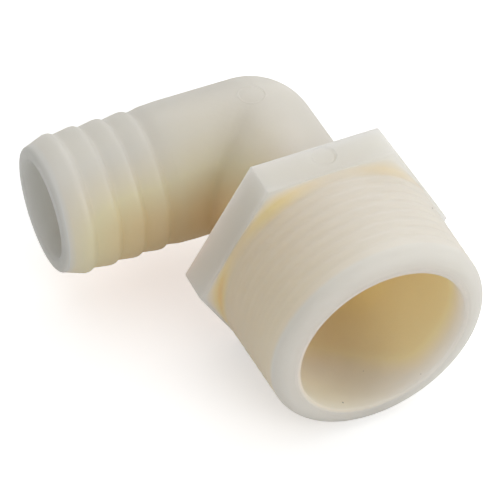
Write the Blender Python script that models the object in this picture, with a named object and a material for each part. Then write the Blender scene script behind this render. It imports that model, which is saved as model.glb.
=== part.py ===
"""Right-angle hose fitting, moulded in one piece: pipe thread, wrench hexagon, elbow and hose barbs.

The real fitting is a single moulding. It is cut here at its functional borders into named
sections, each one closed ring-shaped solid, with SECTION_GAP left between neighbours.

Datum: the thread axis and the hose axis cross at the empty "axes_crossing". The thread runs
towards -Y from there and the hose tail towards -X. Both axes lie in the parting plane of the
mould, which is level. The world origin is on the floor, under the middle of the fitting's box.
"""

import math

import bmesh
import bpy
from mathutils import Vector

MM = 0.001
INCH = 25.4 * MM

# Mesh resolution
SEGMENTS = 40
SAMPLES_PER_PITCH = 5
FILLET_STEPS = 3
CORNER_RINGS = 7
SHARP_ANGLE = math.radians(35)
TINY = 1e-9

# Gap between neighbouring sections
SECTION_GAP = 0.3 * MM

# Tapered pipe thread, 1 1/4 inch size, with soft moulded ridges
THREAD_PITCH = INCH / 11.5
THREAD_CREST_R = 21.08 * MM
THREAD_TAPER = 1 / 32
THREAD_LENGTH = 22.3 * MM
THREAD_DEPTH = 0.9 * MM
THREAD_RUNOUT = 1.2 * MM
THREAD_WALL = 5.18 * MM

# The ridges fade beside the parting plane: how much, and how sharply with the turn
PARTING_RELIEF = 0.85
PARTING_SHARPNESS = 8

# Rounded end of the thread
LEAD_IN_LENGTH = 2.8 * MM
LEAD_IN_DROP = 2.0 * MM
LIP_ROUND = 0.8 * MM

# Wrench hexagon. Its flats stand HEX_RISE above the thread's crests.
HEX_RISE = 0.42 * MM
HEX_THICKNESS = 6.9 * MM
HEX_EDGE_ROUND = 0.45 * MM

# Cone between the wide bore and the narrow one, SHOULDER_WALL inside the hexagon's back face
SHOULDER_WALL = 2.6 * MM
SHOULDER_RISE = 1.7 * MM

# Elbow: the corner block reaches CORNER_MARGIN past the inner corner on both legs
ELBOW_R = 13.3 * MM
ELBOW_WALL = 4.2 * MM
CORNER_MARGIN = 1.6 * MM
NECK_LENGTH = 10.1 * MM
NECK_DRAFT = 0.2 * MM
SHANK_LENGTH = 7.1 * MM
SHANK_RAMP = 3.2 * MM

# Barbs: the tip is one long cone, and the others are alike
BARB_COUNT = 4
BARB_TIP_LENGTH = 5.4 * MM
BARB_SPACING = 4.8 * MM
BARB_INSET = 0.1 * MM
BARB_DEPTH = 0.55 * MM
BARB_TIP_INSET = 1.3 * MM
BARB_LAND = 0.5 * MM
BARB_EDGE_ROUND = 0.15 * MM
TIP_ROUND = 0.7 * MM
TIP_BORE_ROUND = 0.35 * MM

# Radii that follow
THREAD_BORE_R = THREAD_CREST_R - THREAD_WALL
HOSE_BORE_R = ELBOW_R - ELBOW_WALL
BARB_CREST_R = ELBOW_R - BARB_INSET
BARB_ROOT_R = BARB_CREST_R - BARB_DEPTH
BARB_TIP_R = ELBOW_R - BARB_TIP_INSET
HEX_FLAT_R = THREAD_CREST_R + HEX_RISE
HEX_CORNER_R = HEX_FLAT_R / math.cos(math.radians(30))

# Places along the axes that follow, as distances from the crossing
CORNER_REACH = ELBOW_R + CORNER_MARGIN
HEX_BACK = CORNER_REACH + NECK_LENGTH
HEX_FRONT = HEX_BACK + HEX_THICKNESS
SHOULDER_PLACE = HEX_BACK + SHOULDER_WALL
THREAD_END = HEX_FRONT + THREAD_LENGTH
LEAD_IN_START = THREAD_END - LEAD_IN_LENGTH
SHANK_END = CORNER_REACH + SHANK_LENGTH
HOSE_END = SHANK_END + (BARB_COUNT - 1) * BARB_SPACING + BARB_TIP_LENGTH

# Directions out of the crossing
THREAD_AXIS = Vector((0, -1, 0))
HOSE_AXIS = Vector((-1, 0, 0))

# Natural nylon: colour, roughness and metallic value
NYLON_MILKY = (0.74, 0.72, 0.65, 1.0)
NYLON_WARM = (0.70, 0.66, 0.56, 1.0)
NYLON_ROUGHNESS = 0.42
NYLON_METALLIC = 0.0


def clear_scene():
    """Remove every object that the file starts with."""
    for item in list(bpy.data.objects):
        bpy.data.objects.remove(item, do_unlink=True)


def nylon(name, colour):
    """Return a satin plastic material of the given colour."""
    material = bpy.data.materials.new(name)
    material.use_nodes = True
    shader = material.node_tree.nodes["Principled BSDF"]
    shader.inputs["Base Color"].default_value = colour
    shader.inputs["Roughness"].default_value = NYLON_ROUGHNESS
    shader.inputs["Metallic"].default_value = NYLON_METALLIC
    return material


def finish(bm, name, datum, colour=NYLON_MILKY):
    """Turn a bmesh into a smooth-shaded object that hangs on the datum."""
    bmesh.ops.recalc_face_normals(bm, faces=bm.faces)
    mesh = bpy.data.meshes.new(name)
    bm.to_mesh(mesh)
    bm.free()
    mesh.shade_smooth()
    mesh.set_sharp_from_angle(angle=SHARP_ANGLE)
    mesh.materials.append(nylon(name + "_nylon", colour))
    section = bpy.data.objects.new(name, mesh)
    bpy.context.collection.objects.link(section)
    section.parent = datum
    return section


def rounded_edge(place, radius, along, across):
    """(place, radius) points of a quarter-ellipse edge, from the round side to the end face.

    place and radius give the sharp edge that is rounded. along and across are the
    rounding's signed reaches from it, along the axis and square to it.
    """
    points = []
    for step in range(FILLET_STEPS + 1):
        turn = math.radians(90) * step / FILLET_STEPS
        points.append((place + along * (1 - math.sin(turn)), radius + across * (1 - math.cos(turn))))
    return points


def turned(profile, axis, closed=True):
    """Spin a (place, radius) outline round an axis through the crossing."""
    bm = bmesh.new()
    corners = [bm.verts.new(axis * place + Vector((0, 0, radius))) for place, radius in profile]
    edges = [bm.edges.new(pair) for pair in zip(corners, corners[1:])]
    if closed:
        edges.append(bm.edges.new((corners[-1], corners[0])))
    bmesh.ops.spin(
        bm, geom=corners + edges, cent=(0, 0, 0), axis=axis, angle=math.tau,
        steps=SEGMENTS, use_merge=True,
    )
    bmesh.ops.remove_doubles(bm, verts=bm.verts, dist=TINY)
    return bm


def swept(rings):
    """Extrude one loop of vertices through a series of rings, and bridge the last to the first."""
    bm = bmesh.new()
    loop = bmesh.ops.create_circle(bm, segments=SEGMENTS, radius=1.0)["verts"]
    edges = bm.edges[:]
    for vert, place in zip(loop, rings[0]):
        vert.co = place
    for ring in rings[1:]:
        grown = bmesh.ops.extrude_edge_only(bm, edges=edges)["geom"]
        fresh = {item for item in grown if isinstance(item, bmesh.types.BMVert)}
        edges = [
            item for item in grown
            if isinstance(item, bmesh.types.BMEdge) and fresh.issuperset(item.verts)
        ]
        loop = [
            next(edge.other_vert(vert) for edge in vert.link_edges if edge.other_vert(vert) in fresh)
            for vert in loop
        ]
        for vert, place in zip(loop, ring):
            vert.co = place
    bmesh.ops.bridge_loops(bm, edges=[edge for edge in bm.edges if edge.is_boundary])
    return bm


def make_barb(index, datum):
    """One barb ring, counted from the tip: a cone that widens inwards and ends in a step."""
    back = SHANK_END + (BARB_COUNT - 1 - index) * BARB_SPACING + SECTION_GAP
    if index == 0:
        bore_edge = rounded_edge(HOSE_END, HOSE_BORE_R, -TIP_BORE_ROUND, TIP_BORE_ROUND)
        tip_edge = rounded_edge(HOSE_END, BARB_TIP_R, -TIP_ROUND, -TIP_ROUND)
        nose = bore_edge + tip_edge[::-1]
    else:
        front = back - SECTION_GAP + BARB_SPACING
        nose = [(front, HOSE_BORE_R), (front, BARB_ROOT_R)]
    crest = [
        (back + BARB_LAND, BARB_CREST_R),
        (back + BARB_EDGE_ROUND, BARB_CREST_R),
        (back, BARB_CREST_R - BARB_EDGE_ROUND),
    ]
    bm = turned(nose + crest + [(back, HOSE_BORE_R)], HOSE_AXIS)
    return finish(bm, f"hose_barb_{index + 1}", datum)


def make_shank(datum):
    """Round length between the last barb and the elbow's corner, ramped up from the barb's root."""
    back = CORNER_REACH + SECTION_GAP
    profile = [
        (SHANK_END, HOSE_BORE_R),
        (SHANK_END, BARB_ROOT_R),
        (SHANK_END - SHANK_RAMP, ELBOW_R),
        (back, ELBOW_R),
        (back, HOSE_BORE_R),
    ]
    return finish(turned(profile, HOSE_AXIS), "hose_shank", datum)


def corner_ring(radius, share):
    """One loop of the elbow's corner, from the neck's end (share 0) to the hose's end (share 1).

    The corner is two round bars of equal radius, joined on a mitre at the inner side and
    by a ball of the same radius at the outer side. The second half mirrors the first.
    """
    travel = 2 * min(share, 1 - share)
    ring = []
    for index in range(SEGMENTS):
        turn = math.tau * index / SEGMENTS
        across = radius * math.cos(turn)
        height = radius * math.sin(turn)
        straight = CORNER_REACH + min(across, 0)
        swing = math.radians(45) * max(across, 0)
        way = travel * (straight + swing)
        along = min(way, straight) - CORNER_REACH
        angle = max(way - straight, 0) / max(across, TINY)
        point = Vector((across * math.cos(angle), along + across * math.sin(angle), height))
        if share > 0.5:
            point = point.yxz
        ring.append(point)
    return ring


def make_corner(datum):
    """The elbow's corner block, with its bore turning the same corner."""
    shares = [step / (2 * CORNER_RINGS) for step in range(2 * CORNER_RINGS + 1)]
    outside = [corner_ring(ELBOW_R, share) for share in shares]
    inside = [corner_ring(HOSE_BORE_R, share) for share in reversed(shares)]
    return finish(swept(outside + inside), "elbow_corner", datum)


def make_neck(datum):
    """Short round leg between the elbow's corner and the hexagon, with the mould's draft."""
    front = HEX_BACK - SECTION_GAP
    back = CORNER_REACH + SECTION_GAP
    profile = [
        (front, HOSE_BORE_R),
        (front, ELBOW_R + NECK_DRAFT),
        (back, ELBOW_R),
        (back, HOSE_BORE_R),
    ]
    return finish(turned(profile, THREAD_AXIS), "neck_leg", datum)


def make_bore_cutter(datum):
    """Stepped plug that bores the hexagon: the wide thread bore, a cone and the narrow bore."""
    profile = [
        (HEX_FRONT + HEX_THICKNESS, 0),
        (HEX_FRONT + HEX_THICKNESS, THREAD_BORE_R),
        (SHOULDER_PLACE + SHOULDER_RISE, THREAD_BORE_R),
        (SHOULDER_PLACE, HOSE_BORE_R),
        (HEX_BACK - HEX_THICKNESS, HOSE_BORE_R),
        (HEX_BACK - HEX_THICKNESS, 0),
    ]
    cutter = finish(turned(profile, THREAD_AXIS, closed=False), "bore_cutter", datum)
    cutter.hide_render = True
    cutter.display_type = "WIRE"
    return cutter


def make_hexagon(datum):
    """Wrench hexagon with two level flats and rounded outer edges, bored through."""
    bm = bmesh.new()
    base = bmesh.ops.create_circle(bm, segments=6, radius=HEX_CORNER_R, cap_ends=True)["verts"]
    for vert in base:
        vert.co = Vector((vert.co.y, -HEX_BACK, vert.co.x))
    grown = bmesh.ops.extrude_face_region(bm, geom=bm.faces[:])["geom"]
    front = [item for item in grown if isinstance(item, bmesh.types.BMVert)]
    bmesh.ops.translate(bm, verts=front, vec=THREAD_AXIS * HEX_THICKNESS)
    bmesh.ops.bevel(
        bm, geom=bm.edges[:], offset=HEX_EDGE_ROUND, offset_type="OFFSET", affect="EDGES",
        segments=2, profile=0.5, material=-1,
    )
    hexagon = finish(bm, "wrench_hexagon", datum)
    bore = hexagon.modifiers.new("bore", "BOOLEAN")
    bore.operation = "DIFFERENCE"
    bore.object = make_bore_cutter(datum)
    return hexagon


def crest_radius(place):
    """Radius of the thread's crest cone at a place on its axis."""
    return THREAD_CREST_R - THREAD_TAPER * (place - HEX_FRONT)


def thread_drop(place, turn):
    """How far the thread lies under its crest cone, at a place on the axis and a turn round it.

    The ridges are soft and right handed. They fade beside the parting plane, at the
    hexagon and at the lead-in.
    """
    phase = (place - HEX_FRONT) / THREAD_PITCH - turn / math.tau
    groove = (1 - math.cos(math.tau * phase)) / 2
    relief = 1 - PARTING_RELIEF * math.cos(turn) ** PARTING_SHARPNESS
    inside = min(place - HEX_FRONT, LEAD_IN_START - place)
    runout = min(1.0, inside / THREAD_RUNOUT)
    return THREAD_DEPTH * groove * relief * runout


def spigot_ring(place, radius, threaded=False):
    """One loop round the thread axis, lowered by the thread where it is threaded."""
    ring = []
    for index in range(SEGMENTS):
        turn = math.tau * index / SEGMENTS
        reach = radius - thread_drop(place, turn) if threaded else radius
        ring.append(Vector((reach * math.cos(turn), -place, reach * math.sin(turn))))
    return ring


def make_spigot(datum):
    """Tapered male thread with a rounded lead-in and lip, round its wide bore."""
    start = HEX_FRONT + SECTION_GAP
    length = LEAD_IN_START - start
    steps = round(length / THREAD_PITCH * SAMPLES_PER_PITCH)
    places = [start + length * step / steps for step in range(steps + 1)]
    rings = [spigot_ring(place, crest_radius(place), threaded=True) for place in places]
    lead_in = rounded_edge(THREAD_END, crest_radius(LEAD_IN_START), -LEAD_IN_LENGTH, -LEAD_IN_DROP)
    lip = rounded_edge(THREAD_END, THREAD_BORE_R, -LIP_ROUND, LIP_ROUND)
    for place, radius in lead_in[1:] + lip[::-1] + [(start, THREAD_BORE_R)]:
        rings.append(spigot_ring(place, radius))
    return finish(swept(rings), "threaded_spigot", datum)


def make_datum():
    """Empty at the axes' crossing, placed so that the fitting lies centred on the floor."""
    datum = bpy.data.objects.new("axes_crossing", None)
    bpy.context.collection.objects.link(datum)
    datum.location = ((HOSE_END - HEX_CORNER_R) / 2, (THREAD_END - ELBOW_R) / 2, HEX_FLAT_R)
    return datum


def main():
    """Build every section of the fitting, from the hose's end to the thread's."""
    clear_scene()
    datum = make_datum()
    for index in range(BARB_COUNT):
        make_barb(index, datum)
    make_shank(datum)
    make_corner(datum)
    make_neck(datum)
    make_hexagon(datum)
    make_spigot(datum)


main()
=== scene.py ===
"""Looks of a right-angle hose fitting, moulded in one piece from natural nylon.

The real fitting is a single moulding, so its visible skin is one closed surface. It is grown
ring by ring through the sections that the CAD solids are named after: out over the pipe
thread, in through the bores, back over the barbs, the elbow and the hexagon, and closed on
itself. Lengths are in millimetres from the point where the thread axis and the hose axis
cross, until the skin is set down in its place. The thread runs towards -Y from there and
the hose tail towards -X.
"""
import logging
import math
from collections.abc import Callable, Iterator
from dataclasses import dataclass
from enum import Enum

import bmesh
import bpy
from mathutils import Matrix, Vector


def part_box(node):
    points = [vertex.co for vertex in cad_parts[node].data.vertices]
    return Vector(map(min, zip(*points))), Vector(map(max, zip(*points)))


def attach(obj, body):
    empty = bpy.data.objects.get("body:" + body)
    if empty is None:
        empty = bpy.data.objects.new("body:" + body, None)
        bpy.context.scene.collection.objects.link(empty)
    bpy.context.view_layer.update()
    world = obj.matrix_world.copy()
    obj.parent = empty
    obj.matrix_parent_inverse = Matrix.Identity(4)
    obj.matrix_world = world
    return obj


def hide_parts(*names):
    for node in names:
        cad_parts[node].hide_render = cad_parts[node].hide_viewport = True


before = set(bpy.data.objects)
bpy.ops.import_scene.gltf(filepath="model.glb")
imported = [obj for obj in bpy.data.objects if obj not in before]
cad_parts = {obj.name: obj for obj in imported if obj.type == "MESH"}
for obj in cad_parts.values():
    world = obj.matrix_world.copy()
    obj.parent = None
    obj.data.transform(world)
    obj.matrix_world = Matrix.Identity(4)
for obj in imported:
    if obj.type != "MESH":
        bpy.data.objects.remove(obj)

LOG = logging.getLogger("hose_fitting")
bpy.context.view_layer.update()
MM = 0.001
SEGMENTS = 192
TURNS = [math.tau * index / SEGMENTS for index in range(SEGMENTS)]
SIDES = 6
QUARTER = math.radians(90)

# Radius of the elbow and of the bars beside it, for the painted shade tint
BODY_RADIUS = 13.3
# Radius of the narrow bore through the hose tail, the elbow and the neck
NARROW_BORE = 9.1
# Places of the plain and the amber colour on the tint's ramp from cool to honey, which paints shade
# into the colour
PLAIN = 0.25
AMBER = 0.7
# Warmth of the tint in the narrow bore, and on the nose of the hose tail: painted shade, amber in
# the bore and dark cool grey on the nose
BORE_WARMTH = 0.6
NOSE_WARMTH = -0.6
# Most that two points of a doubled ring lie apart
MERGE = 0.001
# Repeats to the metre of the flow clouds, satin patches, specks and fine grain
CLOUD_SCALE, PATCH_SCALE, SPECK_SCALE, GRAIN_SCALE = 90.0, 260.0, 140.0, 1400.0

Ring = tuple[list[Vector], list[float]]


def smooth_step(low: float, high: float, value: float) -> float:
    """Rise softly from 0 at low to 1 at high."""
    share = min(max((value - low) / (high - low), 0.0), 1.0)
    return share * share * (3 - 2 * share)


def spread(start: float, end: float, steps: int) -> list[float]:
    """Evenly spaced values from start to end, both included."""
    return [start + (end - start) * step / steps for step in range(steps + 1)]


def rounded(
    place: float, radius: float, along: float, across: float, steps: int
) -> list[tuple[float, float]]:
    """Points of a rounded edge in a (place, radius) outline.

    Args:
        place: Where the sharp edge would lie on the axis.
        radius: How far from the axis the sharp edge would lie.
        along: Signed reach of the rounding along the axis.
        across: Signed reach of the rounding square to the axis.
        steps: Number of steps in the quarter turn.

    Returns:
        (place, radius) pairs from the side that runs along the axis to the end face.
    """
    turns = spread(0.0, QUARTER, steps)
    return [
        (place + along * (1 - math.sin(turn)), radius + across * (1 - math.cos(turn)))
        for turn in turns
    ]


def set_sockets(node: bpy.types.Node, **values: float | tuple[float, ...]) -> None:
    """Set a node's own sockets, named with _ for each space."""
    for name, value in values.items():
        node.inputs[name.replace("_", " ")].default_value = value


def show(name: str, data: bpy.types.ID) -> bpy.types.Object:
    """Put new data into the scene.

    Args:
        name: Name of the object.
        data: Its mesh, light or camera.

    Returns:
        The object.
    """
    shown = bpy.data.objects.new(name, data)
    bpy.context.scene.collection.objects.link(shown)
    return shown


def shade(turn: float) -> float:
    """Return how little light a side gets: 1 below and at -X, 0 above and at +X."""
    return smooth_step(-0.6, 1.0, -math.cos(turn) - 0.3 * math.sin(turn))


def lightward(point: Vector) -> float:
    """Return how far round the body a point is towards the light: -1 to 1."""
    return (0.75 * point.y + 0.66 * point.z) / BODY_RADIUS


def body_shade_tint(point: Vector) -> float:
    """Return the painted shade tint of the hose tail, the elbow and the neck.

    Args:
        point: A point of the outside, from the crossing.

    Returns:
        The warmth: highest underneath, towards the elbow's inner corner.
    """
    low = smooth_step(-0.45, 0.75, -lightward(point))
    reach = 1 - smooth_step(28, 50, -point.x)
    inside = smooth_step(-2, 12, -point.x)
    gap = math.hypot(point.x + BODY_RADIUS, point.y + BODY_RADIUS)
    depth = 0.25 + 0.75 * smooth_step(-0.9, 0.6, -point.z / BODY_RADIUS)
    inner = (1 - smooth_step(0.0, 10.0, gap)) * depth
    under = low * reach * inside
    return 0.06 + 0.94 * (under + 0.9 * inner - 0.9 * under * inner)


def root_shade_tint(turn: float) -> float:
    """Return the painted shade tint between the hexagon and the thread, strongest in the corners
    and on the side away from the light.
    """
    corner = (1 + math.cos(SIDES * turn)) / 2
    return (0.25 + 0.4 * shade(turn)) * (0.3 + 0.7 * corner)


class Leg(Enum):
    """The two axes that leave the crossing."""

    THREAD = "thread"
    HOSE = "hose"

    def point(self, place: float, radius: float, turn: float) -> Vector:
        """Return a point beside this leg.

        Args:
            place: Distance from the crossing along the leg.
            radius: Distance from the leg's axis.
            turn: Turn round that axis.

        Returns:
            The point, from the crossing.
        """
        across, height = radius * math.cos(turn), radius * math.sin(turn)
        if self is Leg.THREAD:
            return Vector((across, -place, height))
        return Vector((-place, across, height))


@dataclass(frozen=True)
class Places:
    """Distances from the crossing that the CAD solids set, in millimetres.

    Attributes:
        crossing: The crossing itself, in metres.
        corner: Where the elbow's corner ends on both legs.
        elbow_radius: Radius of the elbow's ball.
        hex_back: Back face of the hexagon.
        hex_front: Front face of the hexagon.
        hex_flat: Distance of the hexagon's flats from the axis.
        thread_end: End of the threaded spigot.
        barbs_start: Step of the innermost barb.
        hose_end: End of the hose tail.
    """

    crossing: Vector
    corner: float
    elbow_radius: float
    hex_back: float
    hex_front: float
    hex_flat: float
    thread_end: float
    barbs_start: float
    hose_end: float

    @classmethod
    def from_frame(cls) -> "Places":
        """Read the places off the boxes of the CAD solids.

        Returns:
            The places.
        """
        elbow_low, elbow_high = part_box("elbow_corner")
        hex_low, hex_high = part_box("wrench_hexagon")
        thread_low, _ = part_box("threaded_spigot")
        shank_low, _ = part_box("hose_shank")
        tip_low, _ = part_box("hose_barb_1")
        height = (elbow_low.z + elbow_high.z) / 2
        radius = (elbow_high.z - elbow_low.z) / 2
        crossing = Vector((elbow_high.x - radius, elbow_high.y - radius, height))
        return cls(
            crossing=crossing,
            corner=(crossing.x - elbow_low.x) / MM,
            elbow_radius=radius / MM,
            hex_back=(crossing.y - hex_high.y) / MM,
            hex_front=(crossing.y - hex_low.y) / MM,
            hex_flat=(hex_high.z - hex_low.z) / 2 / MM,
            thread_end=(crossing.y - thread_low.y) / MM,
            barbs_start=(crossing.x - shank_low.x) / MM,
            hose_end=(crossing.x - tip_low.x) / MM,
        )


class Skin:
    """One closed surface, grown from a circle by extruding its open edge ring by ring."""

    def __init__(self) -> None:
        """Start with a circle that the first ring will shape."""
        self.mesh = bmesh.new()
        self.warmth = self.mesh.verts.layers.float.new("warmth")
        circle = bmesh.ops.create_circle(self.mesh, segments=SEGMENTS, radius=1.0)
        self.loop: list[bmesh.types.BMVert] = circle["verts"]
        self.edges: list[bmesh.types.BMEdge] = self.mesh.edges[:]
        self.started = False

    def grow(self, rings: Iterator[Ring]) -> None:
        """Extrude the open edge through a series of rings.

        Args:
            rings: Points and warmths of each ring, in order.
        """
        for points, warmth in rings:
            if self.started:
                self.extrude()
            self.started = True
            for vert, point, warm in zip(self.loop, points, warmth):
                vert.co = point
                vert[self.warmth] = PLAIN + warm * (1 - PLAIN if warm > 0 else PLAIN)

    def extrude(self) -> None:
        """Extrude the open edge once, and keep the new loop in the old one's order."""
        grown = bmesh.ops.extrude_edge_only(self.mesh, edges=self.edges)["geom"]
        fresh = {item for item in grown if isinstance(item, bmesh.types.BMVert)}
        self.edges = [
            item
            for item in grown
            if isinstance(item, bmesh.types.BMEdge) and fresh.issuperset(item.verts)
        ]
        self.loop = [
            next(e.other_vert(vert) for e in vert.link_edges if e.other_vert(vert) in fresh)
            for vert in self.loop
        ]

    def close(self) -> None:
        """Bridge the last ring to the first, merge doubled rings and point faces outwards."""
        rims = [edge for edge in self.mesh.edges if edge.is_boundary]
        bmesh.ops.bridge_loops(self.mesh, edges=rims)
        bmesh.ops.remove_doubles(self.mesh, verts=self.mesh.verts[:], dist=MERGE)
        bmesh.ops.recalc_face_normals(self.mesh, faces=self.mesh.faces[:])
        self.settle()

    def settle(self) -> None:
        """Copy the mesh in the order of its points, because extruding shuffles its edges."""
        self.mesh.verts.index_update()
        settled = bmesh.new()
        warmth = settled.verts.layers.float.new("warmth")
        for vert in self.mesh.verts:
            settled.verts.new(vert.co)[warmth] = vert[self.warmth]
        settled.verts.ensure_lookup_table()
        corners = [[vert.index for vert in face.verts] for face in self.mesh.faces]
        for numbers in sorted(corners, key=sorted):
            settled.faces.new([settled.verts[number] for number in numbers])
        self.mesh.free()
        self.mesh, self.warmth = settled, warmth


@dataclass
class Section:
    """A stretch of the fitting, which knows its own rings.

    Attributes:
        places: The places that the CAD sets.
    """

    places: Places

    def turned(
        self, leg: Leg, outline: list[tuple[float, float]], warmth: Callable[[float, float], float]
    ) -> Iterator[Ring]:
        """Yield the round rings of a (place, radius) outline.

        Args:
            leg: The leg that the outline turns round.
            outline: (place, radius) pairs in order.
            warmth: Gives the warmth of the tint at a place and a turn.

        Yields:
            One ring for each pair.
        """
        for place, radius in outline:
            yield (
                [leg.point(place, radius, turn) for turn in TURNS],
                [warmth(place, turn) for turn in TURNS],
            )


@dataclass
class ThreadedSpigot(Section):
    """Tapered male pipe thread with soft moulded ridges, and its wide bore.

    Attributes:
        pitch: Spacing of the ridges.
        crest_radius: Radius of the crests at the hexagon.
        taper: Drop of the crests' radius per length.
        depth: Depth of the grooves.
        runout: Length over which the grooves fade in and out.
        parting_relief: How much the ridges fade beside the parting plane.
        parting_sharpness: How sharply they do.
        samples: Rings for each pitch.
        root_round: Fillet between the hexagon and the thread.
        plain_length: Length of the end without grooves.
        lead_in_length: Length of the rounded end.
        lead_in_drop: Drop of the rounded end.
        bore_radius: Radius of the wide bore.
        lip_radius: Radius of the bead's crest at the mouth of the bore.
        bead_height: Height of the bead over the end face.
        bead_width: Width of the bead's outer side.
        lip_depth: Length of the lip's rounding into the bore.
        bore_fade: Depth at which the bore's painted shade is full.
        shoulder_wall: From the hexagon's back face to the narrow end of the shoulder.
        shoulder_rise: Length of the shoulder's cone.
    """

    pitch: float = 25.4 / 11.5
    crest_radius: float = 21.08
    taper: float = 1 / 32
    depth: float = 0.26
    runout: float = 1.2
    parting_relief: float = 0.85
    parting_sharpness: int = 8
    samples: int = 14
    root_round: float = 0.9
    plain_length: float = 3.2
    lead_in_length: float = 2.8
    lead_in_drop: float = 2.6
    bore_radius: float = 15.9
    lip_radius: float = 16.6
    bead_height: float = 0.12
    bead_width: float = 0.4
    lip_depth: float = 0.26
    bore_fade: float = 7.0
    shoulder_wall: float = 2.6
    shoulder_rise: float = 1.7

    def crest(self, place: float) -> float:
        """Return the radius of the crests' cone at a place."""
        return self.crest_radius - self.taper * (place - self.places.hex_front)

    def drop(self, place: float, turn: float) -> float:
        """Return how far the ridged surface lies under the crests' cone.

        Args:
            place: Distance from the crossing along the thread.
            turn: Turn round the thread's axis.

        Returns:
            The drop, which is 0 on a crest and at both ends of the thread.
        """
        front, back = self.places.thread_end - self.plain_length, self.places.hex_front
        phase = (place - back) / self.pitch - turn / math.tau
        groove = (1 - math.cos(math.tau * phase)) / 2
        relief = 1 - self.parting_relief * math.cos(turn) ** self.parting_sharpness
        fade = smooth_step(0, self.runout, min(place - back, front - place))
        return self.depth * groove * relief * fade

    def warmth(self, place: float, turn: float) -> float:
        """Return the tint on the outside, a painted shade: warm at the hexagon's root and on the
        side away from the light, then milky, and cooler at the end.
        """
        root = 1 - smooth_step(0.3, 3.0, place - self.places.hex_front)
        end = smooth_step(self.plain_length, 1.5, self.places.thread_end - place)
        return 0.05 + 0.25 * shade(turn) * (1 - end) - 0.2 * end + root * root_shade_tint(turn)

    def outer_rings(self) -> Iterator[Ring]:
        """Yield the rings from the hexagon's root to the crest of the lip."""
        start = self.places.hex_front + self.root_round
        front = self.places.thread_end - self.plain_length
        steps = round((front - start) / self.pitch * self.samples)
        for place in spread(start, front, steps):
            yield (
                [
                    Leg.THREAD.point(place, self.crest(place) - self.drop(place, turn), turn)
                    for turn in TURNS
                ],
                [self.warmth(place, turn) for turn in TURNS],
            )
        face = self.places.thread_end - self.bead_height
        corner = self.crest(face - self.lead_in_length)
        outline = rounded(face, corner, -self.lead_in_length, -self.lead_in_drop, 16)
        foot = self.lip_radius + self.bead_width
        outline += [(face, radius) for radius in spread(outline[-1][1], foot, 3)[1:]]
        for share in spread(0.0, 1.0, 6)[1:]:
            height = self.bead_height * math.sin(share * QUARTER)
            outline.append((face + height, foot - self.bead_width * share))
        yield from self.turned(Leg.THREAD, outline, self.warmth)

    def bore_rings(self) -> Iterator[Ring]:
        """Yield the rings from the lip through the wide bore to the foot of the shoulder."""
        end = self.places.thread_end
        lip = rounded(
            end, self.bore_radius, -self.lip_depth, self.lip_radius - self.bore_radius, 8
        )
        wide = self.places.hex_back + self.shoulder_wall + self.shoulder_rise
        straight = [(p, self.bore_radius) for p in spread(end - self.lip_depth, wide + 0.6, 12)]
        outline = lip[::-1] + straight[1:]
        yield from self.turned(Leg.THREAD, outline, self.bore_warmth)

    def bore_warmth(self, place: float, turn: float) -> float:
        """Return the painted shade inside: warmer with the depth under the lip, beginning deeper on
        the lower left, which gets more light.
        """
        depth = self.places.thread_end - place
        lit = smooth_step(-0.2, 1.0, -0.85 * math.cos(turn) - 0.5 * math.sin(turn))
        near = self.bore_fade * (1 + 1.4 * lit)
        return 0.02 + 0.72 * smooth_step(0.3 + 7.0 * lit, near + 5.0 * lit, depth)


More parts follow.
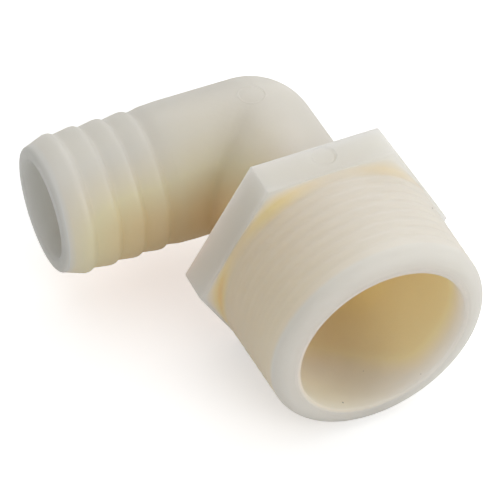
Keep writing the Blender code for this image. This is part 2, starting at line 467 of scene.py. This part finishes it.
@dataclass
class WrenchHexagon(Section):
    """Six-sided collar with level flats and rounded edges.

    Attributes:
        corner_round: Radius of the upright corners.
        edge_round: Radius of the edges round both faces.
        trim: Share of their reach that the corners in the parting plane keep.
        back_round: Fillet between the neck and the back face.
        side_steps: Rings along the flats.
        plain: Warmth of the tint on the flats, a slight painted shade towards the cool colour.
        back_warmth: Warmth of the tint at the foot of the back face, painted shade in the corner by
            the neck.
        back_cooling: Drop of that warmth towards the outline.
        half_side: Half the turn that one side takes up.
    """

    corner_round: float = 0.35
    edge_round: float = 0.5
    trim: float = 0.993
    back_round: float = 0.8
    side_steps: int = 8
    plain: float = -0.12
    back_warmth: float = 0.3
    back_cooling: float = 0.22
    half_side: float = math.pi / SIDES

    def outline_point(self, index: int, inset: float) -> tuple[float, float]:
        """Return a point of the hexagon's outline.

        Args:
            index: Number of the point, with 0 on the corner at +X.
            inset: How far the outline is drawn in from the flats.

        Returns:
            (across, height) of the point.
        """
        per_side = SEGMENTS // SIDES
        corner_steps = 3
        side, step = divmod(index, per_side)
        half = per_side // 2
        mirrored = step > half
        if mirrored:
            side, step = side + 1, per_side - step
        centre = (self.places.hex_flat - self.corner_round) / math.cos(self.half_side)
        bend = max(self.corner_round - inset, 0.02)
        swing = self.half_side * min(step, corner_steps) / corner_steps
        along, aside = centre + bend * math.cos(swing), bend * math.sin(swing)
        if step > corner_steps:
            # The steps along a flat are shorter beside its corners
            share = (step - corner_steps) / (half - corner_steps)
            share = share * (0.35 + 0.65 * share)
            middle = self.places.hex_flat - self.corner_round + bend
            target = (middle * math.cos(self.half_side), middle * math.sin(self.half_side))
            along += (target[0] - along) * share
            aside += (target[1] - aside) * share
        if mirrored:
            aside = -aside
        turn = 2 * self.half_side * side
        return (
            self.trim * (along * math.cos(turn) - aside * math.sin(turn)),
            along * math.sin(turn) + aside * math.cos(turn),
        )

    def ring(self, place: float, share: float, inset: float, root: float, warm: float) -> Ring:
        """Return a ring between the round root and the hexagon's outline.

        Args:
            place: Distance from the crossing.
            share: 0 on the root circle, 1 on the outline.
            inset: How far the outline is drawn in.
            root: Radius of the root circle.
            warm: Warmth of the tint.

        Returns:
            The ring's points and warmths.
        """
        points = []
        for index, turn in enumerate(TURNS):
            across, height = self.outline_point(index, inset)
            inner = Vector((root * math.cos(turn), -place, root * math.sin(turn)))
            points.append(inner.lerp(Vector((across, -place, height)), share))
        return points, [warm] * SEGMENTS

    def rings(self, neck_radius: float, thread_radius: float, root_round: float) -> Iterator[Ring]:
        """Yield the rings from the neck's fillet over the hexagon to the thread's root.

        Args:
            neck_radius: Radius of the neck at the hexagon.
            thread_radius: Radius of the thread's crests at the hexagon.
            root_round: Fillet between the front face and the thread.

        Yields:
            The rings in order.
        """
        back, front = self.places.hex_back, self.places.hex_front
        fillet = rounded(back, neck_radius, -self.back_round, self.back_round, 6)
        yield from self.turned(Leg.THREAD, fillet[:-1], lambda place, turn: self.back_warmth)
        root = fillet[-1][1]
        for share in (0.0, 0.15, 0.4, 0.7, 0.93, 1.0):
            warm = self.back_warmth - self.back_cooling * share
            yield self.ring(back, share, self.edge_round, root, warm)
        for turn in spread(0.0, QUARTER, 4)[1:]:
            place = back + self.edge_round * (1 - math.cos(turn))
            yield self.ring(place, 1.0, self.edge_round * (1 - math.sin(turn)), root, self.plain)
        for place in spread(back + self.edge_round, front - self.edge_round, self.side_steps)[1:]:
            yield self.ring(place, 1.0, 0.0, root, self.plain)
        for turn in spread(0.0, QUARTER, 4)[1:]:
            place = front - self.edge_round * (1 - math.sin(turn))
            yield self.ring(place, 1.0, self.edge_round * (1 - math.cos(turn)), root, self.plain)
        for share in (0.93, 0.8, 0.65, 0.5, 0.35, 0.22, 0.12, 0.05):
            lift = root_round * (1 - smooth_step(0.0, 0.35, share)) * 0.45
            yield self.face_ring(front, share, lift, thread_radius)

    def face_ring(self, front: float, share: float, lift: float, thread_radius: float) -> Ring:
        """Return a ring of the front face, raised towards the thread as a fillet.

        Args:
            front: Distance of the face from the crossing.
            share: 0 on the thread's root, 1 on the outline.
            lift: Rise of the ring over the face.
            thread_radius: Radius of the thread's root.

        Returns:
            The ring's points and warmths.
        """
        points, _ = self.ring(front, share, self.edge_round, thread_radius, 0.0)
        warmth = []
        for turn, point in zip(TURNS, points):
            point.y -= lift
            # Painted shade: warmer on the side away from the light and towards the thread's root
            milky = self.plain + (0.05 + 0.25 * shade(turn) - self.plain) * (1 - share)
            warmth.append(milky + (1 - share) ** 2 * root_shade_tint(turn))
        return points, warmth


@dataclass
class Neck(Section):
    """Short round leg between the elbow's corner and the hexagon, with its narrow bore.

    Attributes:
        draft: Growth of the radius towards the hexagon.
        bore_radius: Radius of the narrow bore.
    """

    draft: float = 0.2
    bore_radius: float = NARROW_BORE

    def outer_rings(self, back_round: float) -> Iterator[Ring]:
        """Yield the rings from the elbow's corner to the hexagon's fillet."""
        start, end = self.places.corner, self.places.hex_back - back_round
        outline = [
            (place, self.places.elbow_radius + self.draft * (place - start) / (end - start))
            for place in spread(start, end, 6)[1:]
        ]
        yield from self.turned(Leg.THREAD, outline, self.warmth)

    def warmth(self, place: float, turn: float) -> float:
        """Return the painted shade tint on the outside."""
        return body_shade_tint(Leg.THREAD.point(place, BODY_RADIUS, turn))

    def bore_rings(self, shoulder: tuple[float, float], wide_radius: float) -> Iterator[Ring]:
        """Yield the shoulder's cone and the narrow bore up to the elbow's corner.

        Args:
            shoulder: Places of the cone's narrow and wide ends.
            wide_radius: Radius of the wide bore.

        Yields:
            The rings in order.
        """
        narrow, wide = shoulder
        # The cone between the bores, with both of its edges rounded
        cone = [
            (wide + 0.3, wide_radius - 0.05),
            (wide, wide_radius - 0.35),
            (wide - 0.3, wide_radius - 1.0),
            ((narrow + wide) / 2, (wide_radius + self.bore_radius) / 2),
            (narrow + 0.25, self.bore_radius + 0.8),
            (narrow, self.bore_radius + 0.25),
            (narrow - 0.3, self.bore_radius + 0.03),
        ]
        straight = [(p, self.bore_radius) for p in spread(narrow - 0.8, self.places.corner, 6)]
        yield from self.turned(Leg.THREAD, cone + straight, lambda place, turn: BORE_WARMTH)


@dataclass
class ElbowCorner(Section):
    """Corner block: two round bars that meet in a ball outside and a soft mitre inside.

    Attributes:
        outer_steps: Rings of the outside.
        bore_steps: Rings of the bore.
        crease_round: Fillet in the inner corner.
        bore_crease_round: Rounding of the bore's inner edge.
        blend: How softly the ball runs into the fillet.
    """

    outer_steps: int = 44
    bore_steps: int = 20
    crease_round: float = 1.3
    bore_crease_round: float = 0.3
    blend: float = 1.0

    def bend(self, across: float, crease: float) -> float:
        """Return the radius of the turn taken by a line that runs across from the axis."""
        return (across + crease + math.hypot(across - crease, self.blend * crease)) / 2

    def top_height(self, x: float, y: float) -> float:
        """Return the height of the corner's upper side over a point near the crossing.

        Args:
            x: Distance of the point from the crossing along X.
            y: Distance of the point from the crossing along Y.

        Returns:
            The height over the crossing.
        """
        radius = self.places.elbow_radius
        x, y = max(x, y), min(x, y)
        low, high = -radius, radius
        for _ in range(40):
            across = (low + high) / 2
            bend = self.bend(across, self.crease_round)
            centre = across - bend
            outside = math.hypot(x - centre, y - centre) - bend if y > centre else x - across
            low, high = (across, high) if outside > 0 else (low, across)
        return math.sqrt(radius**2 - across**2)

    def ring(self, radius: float, share: float, crease: float) -> list[Vector]:
        """Return one ring of the corner.

        Args:
            radius: Radius of the bars.
            share: 0 at the neck's end, 1 at the hose's end.
            crease: Fillet of the inner corner.

        Returns:
            The ring's points, with turn 0 on the outer side.
        """
        travel = 2 * min(share, 1 - share)
        points = []
        for turn in TURNS:
            across, height = radius * math.cos(turn), radius * math.sin(turn)
            bend = self.bend(across, crease)
            straight = self.places.corner + across - bend
            way = travel * (straight + bend * math.radians(45))
            if way <= straight:
                point = Vector((across, way - self.places.corner, height))
            else:
                angle = (way - straight) / bend
                centre = across - bend
                point = Vector(
                    (centre + bend * math.cos(angle), centre + bend * math.sin(angle), height)
                )
            points.append(point if share <= 0.5 else point.yxz)
        return points

    def outer_rings(self) -> Iterator[Ring]:
        """Yield the outside from the hose's end to the neck's end."""
        for share in spread(1.0, 0.0, self.outer_steps):
            points = self.ring(self.places.elbow_radius, share, self.crease_round)
            # The tint is the body's painted shade
            yield points, [body_shade_tint(point) for point in points]

    def bore_rings(self) -> Iterator[Ring]:
        """Yield the bore from the neck's end to the hose's end."""
        for share in spread(0.0, 1.0, self.bore_steps)[1:-1]:
            points = self.ring(NARROW_BORE, share, self.bore_crease_round)
            yield points, [BORE_WARMTH] * SEGMENTS


@dataclass
class HoseTail(Section):
    """Shank and barbs of the hose tail, and the narrow bore.

    Attributes:
        barbs: Number of barbs.
        spacing: Length of a barb behind the tip.
        crest_radius: Radius of the barbs' crests.
        depth: Depth of the step behind a crest.
        land: Length of the flat crest.
        step_length: Length of the step behind a crest.
        tip_radius: Radius of the tip before its rounding.
        tip_round: Rounding of the tip's outside.
        mouth_round: Rounding of the bore's mouth.
        bore_radius: Radius of the bore.
        ramp: Length of the ramp between the last barb and the shank.
        waist: Drop of the radius in the waist before the elbow.
    """

    barbs: int = 4
    spacing: float = 4.8
    crest_radius: float = 13.2
    depth: float = 0.48
    land: float = 1.2
    step_length: float = 1.2
    tip_radius: float = 12.0
    tip_round: float = 0.8
    mouth_round: float = 0.6
    bore_radius: float = NARROW_BORE
    ramp: float = 3.2
    waist: float = 0.12

    def bore_rings(self) -> Iterator[Ring]:
        """Yield the bore from the elbow's corner to the mouth."""
        start, end = self.places.corner, self.places.hose_end
        outline = [(p, self.bore_radius) for p in spread(start, end - self.mouth_round, 12)]
        mouth = rounded(end, self.bore_radius, -self.mouth_round, self.mouth_round, 5)
        yield from self.turned(Leg.HOSE, outline + mouth[1:], self.bore_warmth)

    def bore_warmth(self, place: float, turn: float) -> float:
        """Return the painted shade inside: dark and cool at the mouth and warmer towards the elbow.
        """
        depth = self.places.hose_end - place
        return NOSE_WARMTH + 0.5 * smooth_step(0.5, 9, depth) + 0.6 * smooth_step(9, 28, depth)

    def outer_rings(self) -> Iterator[Ring]:
        """Yield the outside from the mouth over the barbs to the elbow's corner."""
        end = self.places.hose_end
        face = spread(self.bore_radius + self.mouth_round, self.tip_radius - self.tip_round, 4)
        outline = [(end, radius) for radius in face[1:-1]]
        outline += rounded(end, self.tip_radius, -self.tip_round, -self.tip_round, 6)[::-1]
        front = end - self.tip_round
        radius = self.tip_radius
        root = self.crest_radius - self.depth
        for index in reversed(range(self.barbs)):
            back = self.places.barbs_start + index * self.spacing
            crest = back + self.land
            outline += [
                (front + (crest - front) * share, radius + (self.crest_radius - radius) * share)
                for share in (0.3, 0.6, 0.85)
            ]
            outline.append((crest, self.crest_radius))
            outline += [
                (
                    back + self.step_length * (0.5 - share),
                    root + self.depth * (1 - smooth_step(0, 1, share)),
                )
                for share in spread(0.0, 1.0, 9)
            ]
            front, radius = outline[-1]
        outline += self.shank_outline(front, root)
        yield from self.turned(Leg.HOSE, outline, self.warmth)

    def shank_outline(self, start: float, root: float) -> list[tuple[float, float]]:
        """Return the ramp behind the last barb and the slightly waisted shank.

        Args:
            start: Place of the last barb's foot.
            root: Radius there.

        Returns:
            (place, radius) pairs towards the elbow.
        """
        outline = []
        full = self.places.elbow_radius
        for place in spread(start, self.places.corner, 14)[1:-1]:
            rise = smooth_step(0, self.ramp, start - place)
            dip = self.waist * math.sin(math.pi * smooth_step(self.places.corner, start, place))
            outline.append((place, root + (full - root) * rise - dip))
        return outline

    def warmth(self, place: float, turn: float) -> float:
        """Return the painted shade tint: the body's, and dark and cool on the nose."""
        nose = 1 - smooth_step(0.0, 1.2, self.places.hose_end - place)
        body = body_shade_tint(Leg.HOSE.point(place, BODY_RADIUS, turn))
        return body * (1 - nose) + NOSE_WARMTH * nose


@dataclass(frozen=True)
class EjectorMark:
    """Shallow round mark that a mould's ejector pin leaves.

    Attributes:
        centre: (x, y) of the mark from the crossing.
        radius: Radius of the mark.
        depth: Depth of its floor.
        rim: Height of the thin rim round it.
        edge: Width of the wall.
        margin: Width of the marked ground round it.
        cuts: Cuts in each mesh edge under the mark.
    """

    centre: tuple[float, float]
    radius: float
    depth: float = 0.12
    rim: float = 0.05
    edge: float = 0.16
    margin: float = 0.35
    cuts: int = 5

    def press(
        self,
        mesh: bmesh.types.BMesh,
        top: float,
        height: Callable[[float, float], float] | None = None,
    ) -> None:
        """Press the mark into the upper side of a mesh.

        Args:
            mesh: The mesh to mark.
            top: Height of the surface at the mark.
            height: Gives the height of a curved surface over a point.
        """
        faces = [
            face
            for face in mesh.faces
            if self.is_near(face.calc_center_median(), top, self.radius + self.margin)
        ]
        edges = list(dict.fromkeys(edge for face in faces for edge in face.edges))
        bmesh.ops.subdivide_edges(mesh, edges=edges, cuts=self.cuts, use_grid_fill=True)
        for vert in mesh.verts:
            if self.is_near(vert.co, top, self.radius + self.margin):
                gap = self.distance(vert.co)
                floor = 1 - smooth_step(self.radius - self.edge, self.radius, gap)
                rim = math.exp(-(((gap - self.radius - self.edge / 2) / self.edge) ** 2))
                plain = height(vert.co.x, vert.co.y) if height else vert.co.z
                vert.co.z = plain - self.depth * floor + self.rim * rim

    def is_near(self, point: Vector, top: float, reach: float) -> bool:
        """Tell whether a point of the upper side lies within reach of the mark."""
        return point.z > top - 1.0 and self.distance(point) < reach

    def distance(self, point: Vector) -> float:
        """Return how far a point lies from the mark's axis."""
        return math.hypot(point.x - self.centre[0], point.y - self.centre[1])


@dataclass(frozen=True)
class NaturalNylon:
    """Milky translucent nylon, with painted shade as a warm tint in enclosed places and underneath,
    and painted light where light comes through the walls.

    Attributes:
        milky: Colour where light reaches the skin freely.
        amber: Colour in the bores, painted shade.
        honey: Colour underneath and in the inner corner, painted shade.
        painted_glow: Painted light, the colour where light comes through the walls.
        glow_share: How far that colour shows.
        cool: Darker colour inside the hose tail's mouth and on its nose, painted shade.
        depth: Reach of the light under the skin, in metres, for red, green and blue.
        scatter: Share of the light that goes under the skin.
        forward: How much the light keeps its direction as it scatters.
        ior: Index of refraction.
        specular: Strength of the surface's gloss.
        relief: Height of the fine relief, in metres.
    """

    milky: tuple[float, float, float] = (0.735, 0.715, 0.64)
    amber: tuple[float, float, float] = (0.99, 0.76, 0.46)
    honey: tuple[float, float, float] = (0.99, 0.62, 0.34)
    painted_glow: tuple[float, float, float] = (0.99, 0.85, 0.60)
    glow_share: float = 0.55
    cool: tuple[float, float, float] = (0.40, 0.41, 0.38)
    depth: tuple[float, float, float] = (0.018, 0.018, 0.018)
    scatter: float = 1.0
    forward: float = 0.0
    ior: float = 1.53
    specular: float = 0.35
    relief: float = 0.00002

    def material(self) -> bpy.types.Material:
        """Build the material.

        Returns:
            The finished material.
        """
        material = bpy.data.materials.new("natural_nylon")
        material.use_nodes = True
        tree = material.node_tree
        shader = tree.nodes["Principled BSDF"]
        self.set_body(shader)
        place = tree.nodes.new("ShaderNodeTexCoord")
        marks = tree.nodes.new("ShaderNodeGroup")
        marks.node_tree = moulding_marks()
        tree.links.new(place.outputs["Object"], marks.inputs["Place"])
        speckled = tree.nodes.new("ShaderNodeMix")
        speckled.data_type = "RGBA"
        speckled.blend_type = "MULTIPLY"
        speckled.inputs["Factor"].default_value = 1.0
        tree.links.new(self.add_colour(tree), speckled.inputs["A"])
        tree.links.new(marks.outputs["Mottle"], speckled.inputs["B"])
        tree.links.new(speckled.outputs["Result"], shader.inputs["Base Color"])
        tree.links.new(marks.outputs["Satin"], shader.inputs["Roughness"])
        bump = tree.nodes.new("ShaderNodeBump")
        set_sockets(bump, Strength=1.0, Distance=self.relief)
        tree.links.new(marks.outputs["Relief"], bump.inputs["Height"])
        tree.links.new(bump.outputs["Normal"], shader.inputs["Normal"])
        return material

    def set_body(self, shader: bpy.types.Node) -> None:
        """Set the gloss and the light under the skin on the shader's own sockets.

        Args:
            shader: The material's shader.
        """
        shader.subsurface_method = "RANDOM_WALK"
        set_sockets(shader, IOR=self.ior, Specular_IOR_Level=self.specular)
        set_sockets(shader, Subsurface_Weight=self.scatter, Subsurface_Radius=self.depth)
        set_sockets(shader, Subsurface_Scale=1.0, Subsurface_Anisotropy=self.forward)

    def add_colour(self, tree: bpy.types.NodeTree) -> bpy.types.NodeSocket:
        """Add the tint by warmth, which paints shade, with the painted light through the walls over
        it.

        Args:
            tree: The material's nodes.

        Returns:
            The output that carries the colour.
        """
        warmth = tree.nodes.new("ShaderNodeAttribute")
        warmth.attribute_name = "warmth"
        # The ramp paints shade: cool grey on the nose, amber in the bores, honey underneath and in
        # the inner corner
        tint = tree.nodes.new("ShaderNodeValToRGB")
        stops = tint.color_ramp.elements
        stops[0].color = (*self.cool, 1.0)
        stops[1].color = (*self.honey, 1.0)
        stops.new(PLAIN).color = (*self.milky, 1.0)
        stops.new(AMBER).color = (*self.amber, 1.0)
        tree.links.new(warmth.outputs["Fac"], tint.inputs["Fac"])
        # Painted light where light comes through the walls, mixed over the tint
        glow = tree.nodes.new("ShaderNodeAttribute")
        glow.attribute_name = "glow"
        share = tree.nodes.new("ShaderNodeMath")
        share.operation = "MULTIPLY"
        share.inputs[1].default_value = self.glow_share
        tree.links.new(glow.outputs["Fac"], share.inputs[0])
        lit = tree.nodes.new("ShaderNodeMix")
        lit.data_type = "RGBA"
        lit.inputs["B"].default_value = (*self.painted_glow, 1.0)
        tree.links.new(share.outputs["Value"], lit.inputs["Factor"])
        tree.links.new(tint.outputs["Color"], lit.inputs["A"])
        return lit.outputs["Result"]


def moulding_marks() -> bpy.types.ShaderNodeTree:
    """Build the node group for the flow mottle, satin patches, specks and fine relief.

    Returns:
        The group, which takes a place and puts out a colour factor, a roughness and a height.
    """
    group = bpy.data.node_groups.new("moulding_marks", "ShaderNodeTree")
    group.interface.new_socket("Place", in_out="INPUT", socket_type="NodeSocketVector")
    for name, kind in (("Mottle", "Color"), ("Satin", "Float"), ("Relief", "Float")):
        group.interface.new_socket(name, in_out="OUTPUT", socket_type=f"NodeSocket{kind}")
    start = group.nodes.new("NodeGroupInput")
    end = group.nodes.new("NodeGroupOutput")

    def noise(scale: float, detail: float) -> bpy.types.Node:
        """Add a noise of a given scale to the group."""
        node = group.nodes.new("ShaderNodeTexNoise")
        set_sockets(node, Scale=scale, Detail=detail)
        group.links.new(start.outputs["Place"], node.inputs["Vector"])
        return node

    def ranged(source: bpy.types.NodeSocket, low: float, high: float) -> bpy.types.Node:
        """Map a noise's middle range to new limits."""
        node = group.nodes.new("ShaderNodeMapRange")
        set_sockets(node, From_Min=0.3, From_Max=0.7, To_Min=low, To_Max=high)
        group.links.new(source, node.inputs["Value"])
        return node

    cloud = noise(CLOUD_SCALE, 3.0)
    mottle = ranged(cloud.outputs["Fac"], 0.975, 1.0)
    cells = group.nodes.new("ShaderNodeTexVoronoi")
    set_sockets(cells, Scale=SPECK_SCALE)
    group.links.new(start.outputs["Place"], cells.inputs["Vector"])
    speck = group.nodes.new("ShaderNodeMapRange")
    set_sockets(speck, From_Min=0.015, From_Max=0.035, To_Min=0.45)
    group.links.new(cells.outputs["Distance"], speck.inputs["Value"])
    both = group.nodes.new("ShaderNodeMath")
    both.operation = "MULTIPLY"
    group.links.new(mottle.outputs["Result"], both.inputs[0])
    group.links.new(speck.outputs["Result"], both.inputs[1])
    group.links.new(both.outputs["Value"], end.inputs["Mottle"])
    patches = noise(PATCH_SCALE, 2.0)
    satin = ranged(patches.outputs["Fac"], 0.36, 0.48)
    group.links.new(satin.outputs["Result"], end.inputs["Satin"])
    grain = noise(GRAIN_SCALE, 3.0)
    group.links.new(grain.outputs["Fac"], end.inputs["Relief"])
    return group


@dataclass
class HoseFitting:
    """The whole fitting: one moulding that stands for all nine CAD solids.

    Attributes:
        places: The places that the CAD sets.
        nylon: The finish.
        glow_centre: Distance from both axes of the brightest painted light in the inner corner.
        glow_reach: How far from there the painted light reaches, at least and at most.
        outer_skin: Distances from the axes between which the bore gives way to the outside.
        bore_glow: Strength of the painted light through the lower wall of the wide bore.
    """

    places: Places
    nylon: NaturalNylon = NaturalNylon()
    glow_centre: float = 11.0
    glow_reach: tuple[float, float] = (2.0, 18.0)
    outer_skin: tuple[float, float] = (11.0, 12.5)
    bore_glow: float = 1.6

    def build(self) -> bpy.types.Object:
        """Grow the skin, press the marks, and set the piece down in its place.

        Returns:
            The finished piece.
        """
        spigot = ThreadedSpigot(self.places)
        hexagon = WrenchHexagon(self.places)
        neck = Neck(self.places)
        corner = ElbowCorner(self.places)
        tail = HoseTail(self.places)
        skin = Skin()
        skin.grow(spigot.outer_rings())
        skin.grow(spigot.bore_rings())
        shoulder = self.places.hex_back + spigot.shoulder_wall
        skin.grow(neck.bore_rings((shoulder, shoulder + spigot.shoulder_rise), spigot.bore_radius))
        skin.grow(corner.bore_rings())
        skin.grow(tail.bore_rings())
        skin.grow(tail.outer_rings())
        skin.grow(corner.outer_rings())
        skin.grow(neck.outer_rings(hexagon.back_round))
        neck_radius = self.places.elbow_radius + neck.draft
        skin.grow(hexagon.rings(neck_radius, spigot.crest_radius, spigot.root_round))
        skin.close()
        self.press_marks(skin.mesh, corner)
        self.paint_light_through(skin.mesh)
        return self.finish(skin.mesh)

    def press_marks(self, mesh: bmesh.types.BMesh, corner: ElbowCorner) -> None:
        """Press the ejector marks into the elbow and into the hexagon's upper flat.

        Args:
            mesh: The closed skin.
            corner: The elbow, which knows the height of its upper side.
        """
        on_flat = EjectorMark(
            centre=(0.4, -self.places.hex_back - 2.75), radius=2.3, depth=0.22, rim=0.0
        )
        on_flat.press(mesh, self.places.hex_flat)
        on_elbow = EjectorMark(centre=(0.0, 0.0), radius=2.5)
        on_elbow.press(mesh, self.places.elbow_radius, corner.top_height)

    def paint_light_through(self, mesh: bmesh.types.BMesh) -> None:
        """Store how much painted light brightens the colour where light comes through the walls
        round the elbow and the wide bore.

        Args:
            mesh: The closed skin, which gets the layer.
        """
        glow = mesh.verts.layers.float.new("glow")
        for vert in mesh.verts:
            gap = math.hypot(vert.co.x + self.glow_centre, vert.co.y + self.glow_centre)
            near = 1 - smooth_step(*self.glow_reach, gap)
            outside = smooth_step(*self.outer_skin, self.axis_distance(vert.co))
            outside *= smooth_step(-1.1, 0.1, lightward(vert.co))
            below = self.below_bore(vert.co) if vert.co.y < -self.places.hex_front else 0.0
            vert[glow] = max(outside * near, self.bore_glow * below)

    def below_bore(self, point: Vector) -> float:
        """Return how much painted light comes up through the lower wall of the wide bore.

        Args:
            point: A point of the spigot, from the crossing.

        Returns:
            The share: highest at the mouth, on the side away from the light.
        """
        depth = self.places.thread_end + point.y
        reach = math.hypot(point.x, point.z)
        low = smooth_step(-0.1, 1.0, -(0.85 * point.x + 0.5 * point.z) / max(reach, 1.0))
        inside = 1 - smooth_step(16.0, 16.8, reach)
        return inside * low * (1 - smooth_step(5.0, 16.0, depth))

    def axis_distance(self, point: Vector) -> float:
        """Return how far a point lies from the nearer of the two axes."""
        beside_hose = math.hypot(point.y, point.z) if point.x < 0 else point.length
        beside_thread = math.hypot(point.x, point.z) if point.y < 0 else point.length
        return min(beside_hose, beside_thread)

    def finish(self, mesh: bmesh.types.BMesh) -> bpy.types.Object:
        """Turn the skin into a smooth-shaded object in the frame's place and dress it.

        Args:
            mesh: The closed skin, which is freed.

        Returns:
            The piece, which rides on the root and stands for every CAD solid.
        """
        to_place = Matrix.Translation(self.places.crossing) @ Matrix.Scale(MM, 4)
        bmesh.ops.transform(mesh, matrix=to_place, verts=mesh.verts)
        data = bpy.data.meshes.new("nylon_hose_fitting")
        mesh.to_mesh(data)
        mesh.free()
        data.shade_smooth()
        data.materials.append(self.nylon.material())
        piece = show("nylon_hose_fitting", data)
        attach(piece, "root")
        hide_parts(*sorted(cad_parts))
        return piece


@dataclass(frozen=True)
class Studio:
    """Pale floor, soft light and the camera.

    Attributes:
        azimuth: Camera's turn round the fitting, in degrees.
        elevation: Camera's height over the horizon, in degrees.
        roll: Camera's tilt, in degrees.
        distance: Distance from the aim, in millimetres.
        aim: Aim of the camera from the crossing, in millimetres.
        lens: Focal length for a 36 mm sensor.
        daylight: Colour of the light.
        surround_left: Strength of the surround towards -X.
        surround_right: Strength of the surround towards +X.
        paper: Colour of the floor paper.
        paper_glow: Glow of the paper, which only the camera sees.
    """

    azimuth: float = -26.351
    elevation: float = 45.695
    roll: float = 1.645
    distance: float = 398.464
    aim: tuple[float, float, float] = (-9.950, -21.255, -3.641)
    lens: float = 158.38
    daylight: tuple[float, float, float] = (0.995, 0.99, 0.985)
    surround_left: float = 0.16
    surround_right: float = 0.85
    paper: tuple[float, float, float] = (0.85, 0.85, 0.85)
    paper_glow: float = 0.48

    def build(self, crossing: Vector) -> None:
        """Set up everything round the fitting.

        Args:
            crossing: Where the two axes cross, in metres.
        """
        self.add_camera(crossing)
        self.add_floor()
        self.add_lights(crossing)

    def add_camera(self, crossing: Vector) -> None:
        """Place the camera at its angle.

        Args:
            crossing: Where the two axes cross, in metres.
        """
        turn, rise = math.radians(self.azimuth), math.radians(self.elevation)
        back = Vector(
            (math.sin(turn) * math.cos(rise), -math.cos(turn) * math.cos(rise), math.sin(rise))
        )
        data = bpy.data.cameras.new("camera")
        data.lens = self.lens
        data.sensor_width = 36.0
        data.clip_start = 0.01
        camera = show("camera", data)
        facing = back.to_track_quat("Z", "Y")
        tilt = Matrix.Rotation(math.radians(self.roll), 4, "Z")
        aim = crossing + Vector(self.aim) * MM
        camera.matrix_world = (
            Matrix.Translation(aim + back * self.distance * MM) @ facing.to_matrix().to_4x4() @ tilt
        )
        bpy.context.scene.camera = camera

    def add_floor(self) -> None:
        """Lay a plain pale floor under the fitting.

        The paper looks brighter than it lights the fitting, so that its glow doesn't bleach
        the warm undersides.
        """
        mesh = bmesh.new()
        bmesh.ops.create_grid(mesh, x_segments=1, y_segments=1, size=3.0)
        data = bpy.data.meshes.new("floor")
        mesh.to_mesh(data)
        mesh.free()
        material = bpy.data.materials.new("floor_paper")
        material.use_nodes = True
        tree = material.node_tree
        shader = tree.nodes["Principled BSDF"]
        set_sockets(shader, Base_Color=(*self.paper, 1.0), Emission_Color=(1.0, 1.0, 1.0, 1.0))
        set_sockets(shader, Roughness=0.9, Specular_IOR_Level=0.1)
        seen = tree.nodes.new("ShaderNodeLightPath")
        glow = tree.nodes.new("ShaderNodeMath")
        glow.operation = "MULTIPLY"
        glow.inputs[1].default_value = self.paper_glow
        tree.links.new(seen.outputs["Is Camera Ray"], glow.inputs[0])
        tree.links.new(glow.outputs["Value"], shader.inputs["Emission Strength"])
        data.materials.append(material)
        floor = show("floor", data)

    def add_lights(self, crossing: Vector) -> None:
        """Add a pale surround, stronger towards +X, and three large soft lights.

        Args:
            crossing: Where the two axes cross, in metres.
        """
        scene = bpy.context.scene
        scene.view_settings.view_transform = "Standard"
        world = bpy.data.worlds.new("surround")
        world.use_nodes = True
        tree = world.node_tree
        surround = tree.nodes["Background"]
        set_sockets(surround, Color=(*self.daylight, 1.0))
        where = tree.nodes.new("ShaderNodeTexCoord")
        split = tree.nodes.new("ShaderNodeSeparateXYZ")
        fall = tree.nodes.new("ShaderNodeMapRange")
        set_sockets(fall, From_Min=-1.0, To_Min=self.surround_left, To_Max=self.surround_right)
        tree.links.new(where.outputs["Generated"], split.inputs["Vector"])
        tree.links.new(split.outputs["X"], fall.inputs["Value"])
        tree.links.new(fall.outputs["Result"], surround.inputs["Strength"])
        scene.world = world
        self.add_softbox("softbox_key", crossing, Vector((0.40, 0.60, 0.55)), 0.6, 1.5)
        self.add_softbox("softbox_top", crossing, Vector((-0.10, 0.00, 0.90)), 0.8, 1.35)
        self.add_softbox("softbox_front", crossing, Vector((0.20, -0.70, 0.50)), 0.5, 1.9)

    def add_softbox(
        self, name: str, target: Vector, place: Vector, size: float, power: float
    ) -> None:
        """Add one square soft light that faces the fitting.

        Args:
            name: Name of the light.
            target: Point that the light faces.
            place: Place of the light from the target, in metres.
            size: Side of the light.
            power: Power in watts.
        """
        data = bpy.data.lights.new(name, "AREA")
        data.shape = "SQUARE"
        data.size = size
        data.energy = power
        data.color = self.daylight
        light = show(name, data)
        facing = place.to_track_quat("Z", "Y").to_matrix().to_4x4()
        light.matrix_world = Matrix.Translation(target + place) @ facing


def main() -> None:
    """Build the fitting and the studio round it."""
    logging.basicConfig(level=logging.INFO)
    places = Places.from_frame()
    piece = HoseFitting(places).build()
    LOG.info("%s: %d vertices", piece.name, len(piece.data.vertices))
    Studio().build(places.crossing)


if __name__ == "__main__":
    main()
